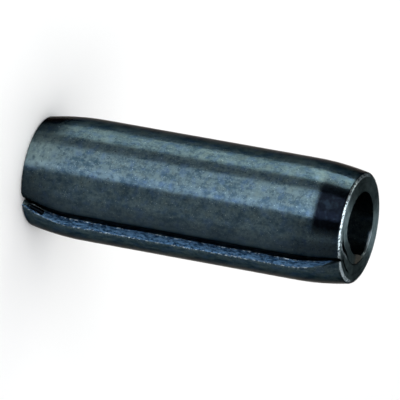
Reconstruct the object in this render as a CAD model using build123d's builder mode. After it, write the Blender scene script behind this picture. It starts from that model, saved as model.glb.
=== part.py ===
from build123d import *

from math import atan2, cos, degrees, radians, sin, sqrt
import os

# Coiled spring pin: one strip of spring steel, rolled into two and a quarter wraps, with swaged ends.
# It stands on its lower end, with its axis along Z. Lengths are in millimetres, angles in degrees.
# Angles are measured in the section, and the strip runs inwards as its angle grows.

# Driving dimensions
pin_length = 35.0
body_diameter = 12.6
strip_thickness = 0.95
wrap_gap = 0.03  # between one wrap and the next
lip_gap = 0.07  # under the lip's tip, which stands off a little
stub_gap = 0.09  # outside the innermost wrap

# Swaged ends: the wraps are drawn in along a curve that leaves the body smoothly
swage_length = 5.8
end_drop = 0.6  # how far the radius comes in at the end face
bottom_rim = (0.19, 0.3)  # rounded outer rim: its width on the end face and its height along the side
top_rim = (0.34, 0.55)

# The lip, where the strip's outer edge lies on the body, and the joggles, where a wrap dives under another
lip_angle = -34.5
lip_slant = 2.8  # the sheared edge leans, so that its inner corner lies this much before the outer one
lip_length = 30.0  # from the lip to where its underside joins the plain wrap
foot_clearance = 0.9  # from the foot of the first joggle to the lip's inner corner
first_joggle = 24.0
second_joggle = 52.0
second_joggle_lead = 2.0  # the second joggle is gentler, and its foot lies this much before the first one's
inner_end_angle = 41.0
inner_end_slant = 27.0  # the torn inner end leans, so that its inner corner lies this much before the outer one

# Swaging winds the coil tighter: towards each end the lip creeps round, and the joggles after it
bottom_lip_creep = 14.0
bottom_joggle_creep = 8.0
top_lip_creep = 13.0
top_joggle_creep = 1.0
corner_lag = 0.3  # share of the lip's extra creep that its inner corner doesn't follow
lip_bevel = (0.08, 0.14)  # broken outer corner of the lip: its depth and its width round the body
top_coining = (0.34, 1.3)  # at the top the corner is pressed flatter, to this depth and width

# Where the shear has torn a pocket into the lip's edge, close to the bottom end
pocket_heights = (0.85, 2.05)
pocket_radius = 0.3
pocket_place = 0.42  # share of the strip's thickness between the lip's inner corner and the pocket's middle

swage_levels = (0.0, 0.2, 0.4, 0.6, 0.8, 1.0)
run_in = 0.6  # plain stretch before each swage
underside_spans = 5  # points along the lip's underside, less one

body_radius = body_diameter / 2
half_strip = strip_thickness / 2
face_radius = body_radius - end_drop
cut_margin = 1.0  # how far a cutting tool reaches past what it cuts
rim_overlap = 0.02  # how far the rounding runs out past the side


def polar(radius, angle):
    """A point of the section, from its distance to the axis and its angle."""
    return (radius * cos(radians(angle)), radius * sin(radians(angle)))


def solve_joggle(outer_middle, inner_middle, start, foot):
    """The step from one circle to a smaller one, as two arcs of one radius on the middle of the strip.

    Gives that radius, the centre of the arc that bends inwards, the centre of the one that bends back,
    and the direction from the first to the second, where the two arcs meet.
    """
    spread = cos(radians(foot - start))
    drop = outer_middle - inner_middle
    gap_squared = outer_middle**2 + inner_middle**2 - 2 * spread * outer_middle * inner_middle
    linear = (1 + spread) * drop
    bend = (sqrt(linear**2 + 2 * (1 - spread) * gap_squared) - linear) / (2 * (1 - spread))
    first = polar(outer_middle - bend, start)
    second = polar(inner_middle + bend, foot)
    meet = degrees(atan2(second[1] - first[1], second[0] - first[0]))
    while meet < start:
        meet += 360
    return bend, first, second, meet


def reach(centre_distance, off_angle, radius, side):
    """How far from the axis a ray meets a circle whose centre lies off_angle away from the ray."""
    across = centre_distance * sin(radians(off_angle))
    return centre_distance * cos(radians(off_angle)) + side * sqrt(radius**2 - across**2)


def draw_section(drop=0.0, lip_creep=0.0, joggle_creep=0.0, bevel=lip_bevel):
    """Draws the outline of the coil in the current line, for wraps drawn in by drop."""
    outer_radius = body_radius - drop
    middles = [outer_radius - half_strip]
    middles.append(middles[0] - strip_thickness - wrap_gap)
    middles.append(middles[1] - strip_thickness - stub_gap)

    corner = lip_angle - lip_creep
    root = lip_angle + lip_length
    plain_corner = lip_angle - lip_slant
    feet = [plain_corner - foot_clearance - joggle_creep]
    feet.append(feet[0] - second_joggle_lead)
    starts = [feet[0] - first_joggle, feet[1] - second_joggle]
    joggles = [solve_joggle(middles[i], middles[i + 1], starts[i], feet[i]) for i in range(2)]

    def underside(angle):
        """The lip's underside: what lies below it, and a gap."""
        bend, first, second, meet = joggles[0]
        contact = (first[0] + (bend + half_strip) * cos(radians(meet)),
                   first[1] + (bend + half_strip) * sin(radians(meet)))
        if angle >= feet[0]:
            below = middles[1] + half_strip
        elif angle >= degrees(atan2(contact[1], contact[0])):
            below = reach(middles[1] + bend, angle - feet[0], bend - half_strip, -1)
        else:
            below = reach(middles[0] - bend, angle - starts[0], bend + half_strip, 1)
        return below + wrap_gap + (lip_gap - wrap_gap) * (root - angle) / lip_length

    # the two faces of the strip, from the lip inwards
    bevel_end = corner + degrees(bevel[1] / outer_radius)
    for side, first_turn, last_turn in ((half_strip, bevel_end, inner_end_angle),
                                        (-half_strip, root, inner_end_angle - inner_end_slant)):
        turn = first_turn
        for wrap in range(3):
            last = wrap == 2
            end = 720 + last_turn if last else 360 * (wrap + 1) + starts[wrap]
            CenterArc((0, 0), middles[wrap] + side, turn, end - turn)
            if not last:
                bend, first, second, meet = joggles[wrap]
                CenterArc(first, bend + side, starts[wrap], meet - starts[wrap])
                CenterArc(second, bend - side, meet + 180, feet[wrap] - meet)
                turn = 360 * (wrap + 1) + feet[wrap]
    Line(polar(middles[2] + half_strip, inner_end_angle),
         polar(middles[2] - half_strip, inner_end_angle - inner_end_slant))

    # the lip, from the end of its bevel round its tip to its root
    inner_corner = corner - lip_slant + (lip_creep - joggle_creep) * corner_lag
    tip = polar(outer_radius - bevel[0], corner)
    Line(polar(outer_radius, bevel_end), tip)
    Line(tip, polar(underside(inner_corner), inner_corner))
    angles = [inner_corner + (root - inner_corner) * i / underside_spans for i in range(underside_spans + 1)]
    Spline([polar(underside(angle), angle) for angle in angles])


def find_lip(height):
    """A point of the lip's edge near the bottom, at the pocket's place in the strip's thickness."""
    drawn_in = ((swage_length - height) / swage_length)**2
    creep = (bottom_lip_creep * drawn_in, bottom_joggle_creep * drawn_in)
    inner_corner = lip_angle - creep[0] - lip_slant + (creep[0] - creep[1]) * corner_lag
    across, along = polar(body_radius - end_drop * drawn_in - strip_thickness * (1 - pocket_place),
                          inner_corner + lip_slant * pocket_place)
    return (across, along, height)


with BuildPart() as roll_pin:
    plain_start = swage_length + run_in
    with BuildSketch(Plane.XY.offset(plain_start)):
        with BuildLine():
            draw_section()
        make_face()
    extrude(amount=pin_length - 2 * plain_start)

    # both swages, from the plain body out to the end faces
    ends = ((0, 1, bottom_lip_creep, bottom_joggle_creep, lip_bevel, bottom_rim),
            (pin_length, -1, top_lip_creep, top_joggle_creep, top_coining, top_rim))
    for face, inwards, lip_creep, joggle_creep, end_bevel, rim in ends:
        with BuildSketch(Plane.XY.offset(face + inwards * plain_start)):
            with BuildLine():
                draw_section()
            make_face()
        for level in swage_levels:
            drawn_in = level**2
            bevel = [start + (finish - start) * drawn_in for start, finish in zip(lip_bevel, end_bevel)]
            with BuildSketch(Plane.XY.offset(face + inwards * swage_length * (1 - level))):
                with BuildLine():
                    draw_section(end_drop * drawn_in, lip_creep * drawn_in, joggle_creep * drawn_in, bevel)
                make_face()
        loft()

    # rounded outer rims
    for face, inwards, lip_creep, joggle_creep, end_bevel, (rim_width, rim_height) in ends:
        side_radius = face_radius + 2 * end_drop / swage_length * rim_height
        foot_of_rim = (face_radius - rim_width, face)
        top_of_rim = (side_radius + rim_overlap, face + inwards * rim_height)
        shoulder = (foot_of_rim[0] + (top_of_rim[0] - foot_of_rim[0]) * sin(radians(45)),
                    face + inwards * rim_height * (1 - cos(radians(45))))
        with BuildSketch(Plane.XZ):
            with BuildLine():
                ThreePointArc(foot_of_rim, shoulder, top_of_rim)
                Polyline(top_of_rim,
                         (body_radius + cut_margin, top_of_rim[1]),
                         (body_radius + cut_margin, face - inwards * cut_margin),
                         (foot_of_rim[0], face - inwards * cut_margin),
                         foot_of_rim)
            make_face()
        revolve(axis=Axis.Z, mode=Mode.SUBTRACT)

    # torn pocket
    pocket = [Vector(find_lip(height)) for height in pocket_heights]
    with BuildSketch(Plane(origin=pocket[0], z_dir=pocket[1] - pocket[0])):
        Circle(pocket_radius)
    extrude(amount=(pocket[1] - pocket[0]).length, mode=Mode.SUBTRACT)
    with Locations(pocket):
        Sphere(pocket_radius, mode=Mode.SUBTRACT)

os.makedirs("parts", exist_ok=True)
roll_pin.part.label = "roll_pin"
export_step(roll_pin.part, "parts/roll_pin.step")
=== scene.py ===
import math

import bpy
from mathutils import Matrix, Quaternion, Vector


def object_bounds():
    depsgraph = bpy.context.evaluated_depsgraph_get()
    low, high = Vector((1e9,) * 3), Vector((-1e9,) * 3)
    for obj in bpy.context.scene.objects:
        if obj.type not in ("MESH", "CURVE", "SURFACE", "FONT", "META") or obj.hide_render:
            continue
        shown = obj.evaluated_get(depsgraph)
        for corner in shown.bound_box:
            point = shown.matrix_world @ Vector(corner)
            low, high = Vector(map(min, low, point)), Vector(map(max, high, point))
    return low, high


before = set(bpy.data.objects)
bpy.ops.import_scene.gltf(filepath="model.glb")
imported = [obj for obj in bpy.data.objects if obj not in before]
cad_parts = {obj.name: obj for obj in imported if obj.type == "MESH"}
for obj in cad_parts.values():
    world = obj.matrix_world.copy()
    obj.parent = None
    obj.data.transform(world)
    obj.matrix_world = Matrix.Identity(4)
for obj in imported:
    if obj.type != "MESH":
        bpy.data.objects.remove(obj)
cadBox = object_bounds()
print("CAD model loaded")

millimetres = 1000  # in a metre


# a value in a material, with sums written as Python
class Wire:
    def __init__(self, sheet, socket):
        self.sheet = sheet
        self.socket = socket

    def sum(self, operation, *values):
        return self.sheet.add("ShaderNodeMath", {"operation": operation}, dict(enumerate(values)))

    def pick(self, output):
        return Wire(self.sheet, self.socket.node.outputs[output])

    def rise(self, low, high):  # from 0 at low to 1 at high, which may be the smaller one
        return self.sheet.add("ShaderNodeMapRange", {"interpolation_type": "SMOOTHSTEP"},
                              {"Value": self, "From Min": low, "From Max": high})

    def between(self, start, full, fade, stop):  # 1 from full to fade, 0 before start and past stop
        return self.rise(start, full) * self.rise(stop, fade)

    def line(self, outer, inner):  # 1 where the value is within inner of 0
        return abs(self).rise(outer, inner)

    def atLeast(self, other):
        return self.sum("MAXIMUM", self, other)

    def atMost(self, other):
        return self.sum("MINIMUM", self, other)

    def root(self):
        return self.sum("SQRT", self)

    def __add__(self, other):
        return self.sum("ADD", self, other)

    def __sub__(self, other):
        return self.sum("SUBTRACT", self, other)

    def __mul__(self, other):
        return self.sum("MULTIPLY", self, other)

    def __truediv__(self, other):
        return self.sum("DIVIDE", self, other)

    def __abs__(self):
        return self.sum("ABSOLUTE", self)

    def __radd__(self, other):
        return self.sum("ADD", other, self)

    def __rsub__(self, other):
        return self.sum("SUBTRACT", other, self)

    def __rmul__(self, other):
        return self.sum("MULTIPLY", other, self)


# a material and its nodes
class Sheet:
    def __init__(self, name):
        self.material = bpy.data.materials.new(name)
        self.material.use_nodes = True
        self.tree = self.material.node_tree
        self.tree.nodes.clear()

    # adds a node: its settings first, then the values or wires of its sockets
    def add(self, kind, settings=None, values=None, output=0):
        node = self.tree.nodes.new(kind)
        for name, setting in (settings or {}).items():
            setattr(node, name, setting)
        for name, value in (values or {}).items():
            socket = node.inputs[name]
            if isinstance(value, Wire):
                self.tree.links.new(value.socket, socket)
            else:
                socket.default_value = value
        return Wire(self, node.outputs[output]) if len(node.outputs) else node

    def blend(self, factor, first, second):
        return self.add("ShaderNodeMix", {"data_type": "RGBA"}, {0: factor, 6: first, 7: second}, 2)

    def noise(self, place, scale, detail, roughness):
        return self.add("ShaderNodeTexNoise", {}, {"Vector": place, "Scale": scale, "Detail": detail,
                                                   "Roughness": roughness})

    def finish(self, shader):
        self.add("ShaderNodeOutputMaterial", {}, {"Surface": shader})
        return self.material


pin = {
    # millimetres and degrees, as on the drawing
    "length": round(cadBox[1][2] * millimetres, 3),
    "radius": round(-cadBox[0][0] * millimetres, 3),
    "strip": 0.95,
    "wrapGap": 0.03,
    "swage": 5.8,
    "endDrop": 0.6,
    "lipAngle": -34.5,
    "lipSlant": 2.8,
    "lipCreep": 13.5,
    "innerCreep": 10.8,  # of the lip's inner corner
    "bore": 3.77,
    "pocketStart": (3.755, -3.757, 0.85),
    "pocketEnd": (4.137, -3.621, 2.05),
    "pocketRadius": 0.36,
    "pocketEnds": 0.35,  # how far it reaches past its two points
    # blued skin
    "lengthwaysScale": 0.35,  # under 1 draws streaks out along the pin
    "oxide": (0.018, 0.036, 0.052, 1),
    "oxideLight": (0.062, 0.094, 0.107, 1),
    "blue": (0.034, 0.066, 0.13, 1),
    "blueShare": 0.33,
    "straw": (0.082, 0.1, 0.082, 1),
    "strawShare": 0.22,
    # pits, also the painted shade beside the lip
    "pitAndShade": (0.02, 0.03, 0.04, 1),
    "pitShare": 0.85,
    "speck": (0.25, 0.31, 0.32, 1),
    "speckShare": 0.45,
    # painted sheen by the foot, a lighter patch in place of a reflection
    "paintedSheen": (0.105, 0.15, 0.155, 1),
    "sheenShare": 0.75,
    "sheenHeights": (5.0, 1.5),
    "sheenAngles": (-134, -122, -97, -90),
    # painted shade, near black where the reflections end: heights from the foot, depths from the top face, and
    # angles round the pin
    "paintedShade": (0.0018, 0.0026, 0.0044, 1),
    "collarDepths": (3.3, 2.65),
    "collarRagged": 0.5,  # how far its edge wanders
    "collarAngles": (-145, -119),
    "collarRound": 0.3,  # what is left of it on the far side
    "collarFade": (-86, -72),
    "collarFadeShare": 0.6,
    "shoulderDepths": (2.9, 3.6, 3.6, 8.0),
    "besideLip": (-92, -84),
    "besideLipShare": 0.4,
    "footHeights": (4.6, 1.6),
    "footAngles": (-179, -155, -138, -118),
    "footShare": 0.75,
    "footLipHeights": (7.5, 1.0),
    # painted shade beside the lip and a painted lighter line in the valley under it, in degrees from its
    # corner
    "lipShadeAngles": (-45, -20, -6, -1),
    "lipShadeShare": 0.55,
    "valleyAngles": (-8, -3, -0.4, 0.2),
    "valleyShare": 0.8,
    # sheared edge
    "shear": (0.005, 0.018, 0.04, 1),
    "shearLight": (0.05, 0.105, 0.18, 1),
    # bare metal at the sheared corners, rims and burrs, also the painted highlight on the bore's far rim
    "bareAndGlint": (0.62, 0.74, 0.8, 1),
    "cornerShare": 0.6,
    "brightHeights": (2.6, 2.2),  # under these the inner corner is bright all along
    "brightShare": 0.8,
    # end faces
    "face": (0.05, 0.074, 0.083, 1),
    "faceLight": (0.085, 0.118, 0.127, 1),
    # painted shade, near black, in the pocket and the gaps
    "holeShade": (0.002, 0.003, 0.004, 1),
    "torn": (0.2, 0.195, 0.175, 1),
    "rimMiddle": 0.24,
    "lipCornerAngles": (-50, -47, -26, -20),
    "gapRadius": 4.72,
    "gapStep": (-66, -38),  # where the gap moves in by one strip
    "gapAngles": (-76, -66, -38, -33),
    "tipAngles": (-50, -47, -22, -8),
    "burrOffset": 0.24,
    "burrShare": 0.5,
    "tornAngles": (0, 12, 42, 52),
    # painted highlight on the bore's far rim
    "boreGlintAngles": (42, 50, 80, 100),
    "boreGlintShare": 0.5,
    # finish
    "roughness": 0.245,
    "edgeTint": (0.37, 0.34, 0.32, 1),
    "bumpHeight": 0.000013,  # metres
}


# where a point lies on the pin
class Spot:
    def __init__(self, sheet):
        place = sheet.add("ShaderNodeTexCoord", output="Object")
        self.place = sheet.add("ShaderNodeVectorMath", {"operation": "SCALE"},
                               {0: place, "Scale": millimetres})
        self.x = sheet.add("ShaderNodeSeparateXYZ", {}, {0: self.place})
        self.y, self.z = self.x.pick("Y"), self.x.pick("Z")
        self.radius = (self.x * self.x + self.y * self.y).root()
        self.angle = self.y.sum("ARCTAN2", self.y, self.x) * math.degrees(1)
        self.fromTop = pin["length"] - self.z

        # how far along a swage, how far the wraps are drawn in there, and how deep below the skin
        half = pin["length"] / 2
        self.swaged = ((abs(self.z - half) - (half - pin["swage"])) / pin["swage"]).atLeast(0)
        drawnIn = self.swaged * self.swaged
        self.depth = pin["radius"] - drawnIn * pin["endDrop"] - self.radius

        # degrees past the lip's outer and inner corner, which creep round towards the ends
        self.outerCorner = self.angle - (pin["lipAngle"] - drawnIn * pin["lipCreep"])
        self.innerCorner = self.angle - (pin["lipAngle"] - pin["lipSlant"] - drawnIn * pin["innerCreep"])

        self.endFace = self.fromTop.rise(0.05, 0.01) + self.z.rise(0.05, 0.01)
        self.sheared = (self.outerCorner.rise(0.15, -0.25) * self.innerCorner.rise(-0.6, -0.1)
                        * self.depth.rise(pin["strip"] + 0.06, pin["strip"] - 0.04))


# fine textures of the steel, from blotches to grains
class Grain:
    def __init__(self, sheet, spot):
        lengthways = sheet.add("ShaderNodeVectorMath", {"operation": "MULTIPLY"},
                               {0: spot.place, 1: (1, 1, pin["lengthwaysScale"])})
        self.mottle = sheet.noise(spot.place, 0.45, 4, 0.6)
        self.hue = sheet.noise(spot.place, 1.15, 4, 0.62)
        self.cloud = sheet.noise(spot.place, 1.7, 3, 0.55)
        self.streaks = sheet.noise(lengthways, 2.4, 3, 0.6)
        self.pits = sheet.noise(spot.place, 3.1, 2, 0.5)
        self.fine = sheet.noise(spot.place, 3.6, 3, 0.65)
        self.flecks = sheet.noise(spot.place, 4.2, 2, 0.7)
        self.tear = sheet.noise(lengthways, 5.2, 4, 0.68)
        self.chips = sheet.noise(lengthways, 6.5, 2, 0.6) * 0.5 + self.flecks * 0.5
        self.specks = sheet.noise(spot.place, 7.5, 1, 0.4)
        self.rings = sheet.add("ShaderNodeTexNoise", {"noise_dimensions": "1D"},
                               {"W": spot.z, "Scale": 7.0, "Detail": 3.0})
        self.tone = (self.mottle * 0.25 + self.cloud * 0.2 + self.fine * 0.3
                     + self.streaks * 0.25).rise(0.39, 0.6)


# blued skin in two tones, with blue and straw blotches, a painted sheen by the foot, pits and bright specks
def paintSkin(sheet, spot, grain):
    colour = sheet.blend(grain.tone, pin["oxide"], pin["oxideLight"])
    colour = sheet.blend(grain.hue.rise(0.5, 0.66) * pin["blueShare"], colour, pin["blue"])
    colour = sheet.blend(grain.hue.rise(0.47, 0.33) * pin["strawShare"], colour, pin["straw"])
    # painted sheen: a lighter patch by the foot in place of a reflection
    paintedSheen = spot.z.rise(*pin["sheenHeights"]) * spot.angle.between(*pin["sheenAngles"])
    colour = sheet.blend(paintedSheen * grain.cloud.rise(0.2, 0.6) * pin["sheenShare"], colour, pin["paintedSheen"])
    pits = grain.pits.rise(0.65, 0.73) * grain.mottle.rise(0.42, 0.56)
    colour = sheet.blend(pits * pin["pitShare"], colour, pin["pitAndShade"])
    return sheet.blend(grain.specks.rise(0.68, 0.75) * pin["speckShare"], colour, pin["speck"])


# painted shade, near black where the reflections end: the collar, the shoulder below it, a corner of the foot,
# and the foot beside the lip
def findPaintedShade(spot, grain):
    underLip = spot.outerCorner.rise(0.5, -0.5)
    besideLip = spot.angle.rise(*pin["besideLip"]) * underLip * pin["besideLipShare"]
    start, full = pin["collarDepths"]
    left = pin["collarRound"]
    collar = (spot.fromTop.rise(start + pin["collarRagged"] * grain.cloud, full)
              * (left + (1 - left) * spot.angle.rise(*pin["collarAngles"]) * underLip)
              * (1 - pin["collarFadeShare"] * spot.angle.rise(*pin["collarFade"])))
    shoulder = spot.fromTop.between(*pin["shoulderDepths"]) * besideLip
    footCorner = spot.z.rise(*pin["footHeights"]) * spot.angle.between(*pin["footAngles"]) * pin["footShare"]
    footLip = spot.z.rise(*pin["footLipHeights"]) * besideLip
    return collar + shoulder + footCorner + footLip


# painted shade beside the lip, a painted lighter line in the valley under it, and the near-black painted shade
# over both
def paintWear(sheet, spot, grain, colour, paintedShade):
    # painted shade beside the lip
    besideLipShade = spot.outerCorner.between(*pin["lipShadeAngles"]) * pin["lipShadeShare"]
    colour = sheet.blend(besideLipShade, colour, pin["pitAndShade"])
    # painted light: a lighter line in the shaded valley under the lip
    valley = spot.outerCorner.between(*pin["valleyAngles"]) * spot.depth.rise(-0.1, 0.1)
    colour = sheet.blend(valley * pin["valleyShare"], colour, pin["paintedSheen"])
    return sheet.blend(paintedShade.atMost(1) * (0.9 + 0.2 * grain.tone), colour, pin["paintedShade"])


# the pocket torn into the sheared edge, painted near black as its shade
def findPocket(spot):
    (startX, startY, startZ), (endX, endY, endZ) = pin["pocketStart"], pin["pocketEnd"]
    along = (spot.z - startZ) / (endZ - startZ)
    offX = spot.x - startX - along * (endX - startX)
    offY = spot.y - startY - along * (endY - startY)
    across = (offX * offX + offY * offY).root().rise(pin["pocketRadius"] + 0.05, pin["pocketRadius"] - 0.03)
    reach = pin["pocketEnds"]
    return across * spot.z.between(startZ - reach, startZ - 0.1, endZ + 0.1, endZ + reach)


# bare bright metal along the sheared edge's two corners
def findBareCorners(spot, grain, pocket):
    outer = spot.outerCorner.line(0.55, 0.1) * spot.depth.rise(0.3, 0.1)
    inner = spot.innerCorner.line(0.7, 0.15) * (spot.depth - pin["strip"] + 0.06).line(0.16, 0.03)
    chipped = (outer + inner) * grain.chips.rise(0.5, 0.62) * (1 - pocket) * pin["cornerShare"]
    return chipped + inner * spot.z.rise(*pin["brightHeights"]) * pin["brightShare"]


# bare bright metal on the outer rim of the top face, and most of all at the lip's corner
def findBareRim(spot, grain):
    rim = (spot.depth - pin["rimMiddle"]).line(0.2, 0.1) * spot.fromTop.rise(0.2, 0.1)
    rim = rim * spot.y.rise(0.8, -0.8)  # only on the lip's half
    lipCorner = spot.angle.between(*pin["lipCornerAngles"])
    return rim * (grain.flecks.rise(0.4, 0.54) * 0.9 + lipCorner * 0.7)


# on the end faces, the gap where one wrap dives under the next, with its burr, and the gap under the lip's
# tip; the gaps are painted near black as shade
def findGap(spot, grain):
    fromGap = spot.radius - (pin["gapRadius"] - pin["strip"] * spot.angle.rise(*pin["gapStep"]))
    inJoggle = spot.angle.between(*pin["gapAngles"]) * spot.endFace
    underTip = (spot.depth - pin["strip"] - pin["wrapGap"]).line(0.14, 0.06) * spot.endFace
    underTip = underTip * spot.angle.between(*pin["tipAngles"])
    gap = (fromGap.line(0.13, 0.06) * inJoggle).atLeast(underTip)
    burr = (fromGap - pin["burrOffset"]).line(0.14, 0.05) * inJoggle * grain.flecks.rise(0.4, 0.52)
    return gap, burr


def makeSteel():
    sheet = Sheet("oiledSteel")
    spot = Spot(sheet)
    grain = Grain(sheet, spot)

    # painted shade where the reflections end
    paintedShade = findPaintedShade(spot, grain)
    colour = paintSkin(sheet, spot, grain)
    colour = paintWear(sheet, spot, grain, colour, paintedShade)

    pocket = findPocket(spot)
    tornBlue = sheet.blend(grain.tear.rise(0.36, 0.62), pin["shear"], pin["shearLight"])
    colour = sheet.blend(spot.sheared, colour, tornBlue)
    # painted shade in the pocket
    colour = sheet.blend(pocket, colour, pin["holeShade"])

    gap, burr = findGap(spot, grain)
    face = sheet.blend(grain.cloud.rise(0.35, 0.65), pin["face"], pin["faceLight"])
    colour = sheet.blend(spot.endFace, colour, face)
    # painted shade in the gaps on the end faces
    colour = sheet.blend(gap, colour, pin["holeShade"])

    # the torn inner end of the strip, and a painted highlight on the rim of the bore past it
    inBore = spot.radius.rise(pin["bore"] - 0.01, pin["bore"] - 0.11) * spot.fromTop.rise(1.4, 0.4)
    tornEnd = inBore * spot.angle.between(*pin["tornAngles"]) * (0.4 + 0.6 * grain.flecks.rise(0.4, 0.6))
    colour = sheet.blend(tornEnd, colour, pin["torn"])
    boreRimGlint = (spot.radius - pin["bore"]).line(0.14, 0.05) * spot.fromTop.rise(0.3, 0.15)
    boreRimGlint = boreRimGlint * spot.angle.between(*pin["boreGlintAngles"]) * pin["boreGlintShare"]
    bareAndGlint = findBareCorners(spot, grain, pocket) + findBareRim(spot, grain) + burr * pin["burrShare"]
    bareAndGlint = (bareAndGlint * (1 - gap) + boreRimGlint).atMost(1)
    colour = sheet.blend(bareAndGlint, colour, pin["bareAndGlint"])

    rough = (pin["roughness"] + grain.fine * 0.08 + grain.cloud * 0.04 + spot.sheared * 0.12
             + spot.endFace * 0.25 - paintedShade * 0.06)
    height = (grain.fine * 0.5 + grain.cloud * 0.5 + spot.sheared * grain.flecks * 6
              + spot.endFace * grain.flecks * 2 + spot.swaged.rise(0, 0.3) * grain.rings * 0.5)
    bump = sheet.add("ShaderNodeBump", {}, {"Strength": 1.0, "Distance": pin["bumpHeight"], "Height": height})
    steel = sheet.add("ShaderNodeBsdfPrincipled", {}, {
        "Base Color": colour, "Roughness": rough, "Metallic": 1.0, "Specular Tint": pin["edgeTint"],
        "Anisotropic": 1.0, "Anisotropic Rotation": 0.25, "Normal": bump})
    return sheet.finish(steel)


pinObject = bpy.data.objects["roll_pin"]
pinObject.data.materials.clear()
pinObject.data.materials.append(makeSteel())
print("pin finished")

view = {
    "elevation": 20.45,  # degrees
    "roll": 100.245,
    "angle": 3.154,
    "distance": 0.741,  # metres
    "shiftRight": -0.00002,
    "shiftDown": 0.00006,
    "sensorWidth": 36,
    "clipStart": 0.05,
}


def addCamera():
    tilt = math.radians(view["elevation"])
    ahead = Vector((0, math.cos(tilt), -math.sin(tilt)))
    turn = ahead.to_track_quat("-Z", "Y") @ Quaternion((0, 0, 1), math.radians(view["roll"]))
    right, up = turn @ Vector((1, 0, 0)), turn @ Vector((0, 1, 0))
    middle = Vector((0, 0, pin["length"] / millimetres / 2))
    target = middle + right * view["shiftRight"] - up * view["shiftDown"]
    data = bpy.data.cameras.new("camera")
    data.sensor_width = view["sensorWidth"]
    data.angle = math.radians(view["angle"])
    data.clip_start = view["clipStart"]
    camera = bpy.data.objects.new("camera", data)
    bpy.context.scene.collection.objects.link(camera)
    camera.location = target - ahead * view["distance"]
    camera.rotation_mode = "QUATERNION"
    camera.rotation_quaternion = turn
    bpy.context.scene.camera = camera


addCamera()
print("camera ready")

studio = {
    "floorSize": 3.0,  # metres
    "floorColour": (0.97, 0.97, 0.97, 1),
    "world": (0.5, 0.52, 0.54, 1),
    "worldStrength": 0.16,
    # azimuth from the camera's side and elevation in degrees, distance, width and height in metres,
    # brightness as seen from the pin, colour
    "lamps": {
        "topLamp": (-91, 4.2, 0.5, 0.265, 0.066, 31.0, (1.0, 1.0, 0.9)),
        "frontLamp": (-29.5, 3.6, 0.6, 0.545, 0.07, 28.5, (1.0, 1.0, 1.0)),
        "keyLamp": (-12, 3.6, 0.6, 0.15, 0.07, 13.0, (0.82, 0.95, 1.3)),
        "fillLamp": (34, 7, 0.7, 0.1, 0.1, 2.5, (1.0, 1.0, 1.0)),
        "skyLamp": (0, 85, 0.6, 0.6, 0.6, 3.5, (1.0, 1.0, 1.0)),
        "backLamp": (172, 32, 0.5, 0.25, 0.2, 2.0, (1.0, 1.0, 1.0)),
    },
}


def addFloor():
    bpy.ops.object.select_all(action="DESELECT")
    bpy.ops.mesh.primitive_plane_add(size=studio["floorSize"], location=(0, 0, 0))
    floor = bpy.context.object
    floor.name = "floor"
    sheet = Sheet("paleFloor")
    paint = sheet.add("ShaderNodeBsdfDiffuse", {}, {"Color": studio["floorColour"]})
    floor.data.materials.append(sheet.finish(paint))


def addLamps():
    for name, (azimuth, elevation, distance, width, height, brightness, colour) in studio["lamps"].items():
        turn, tilt = math.radians(azimuth), math.radians(elevation)
        outward = Vector((math.sin(turn) * math.cos(tilt), -math.cos(turn) * math.cos(tilt), math.sin(tilt)))
        data = bpy.data.lights.new(name, "AREA")
        data.shape = "RECTANGLE"
        data.size = width
        data.size_y = height
        data.energy = brightness * math.pi * width * height  # watts
        data.color = colour
        lamp = bpy.data.objects.new(name, data)
        bpy.context.scene.collection.objects.link(lamp)
        lamp.location = outward * distance
        lamp.rotation_mode = "QUATERNION"
        lamp.rotation_quaternion = (-outward).to_track_quat("-Z", "Y")
        lamp.visible_camera = False


def addWorld():
    world = bpy.data.worlds.new("studio")
    world.use_nodes = True
    background = world.node_tree.nodes["Background"]
    background.inputs["Color"].default_value = studio["world"]
    background.inputs["Strength"].default_value = studio["worldStrength"]
    bpy.context.scene.world = world


addFloor()
addLamps()
addWorld()
bpy.context.scene.view_settings.view_transform = "Standard"
print("studio ready")
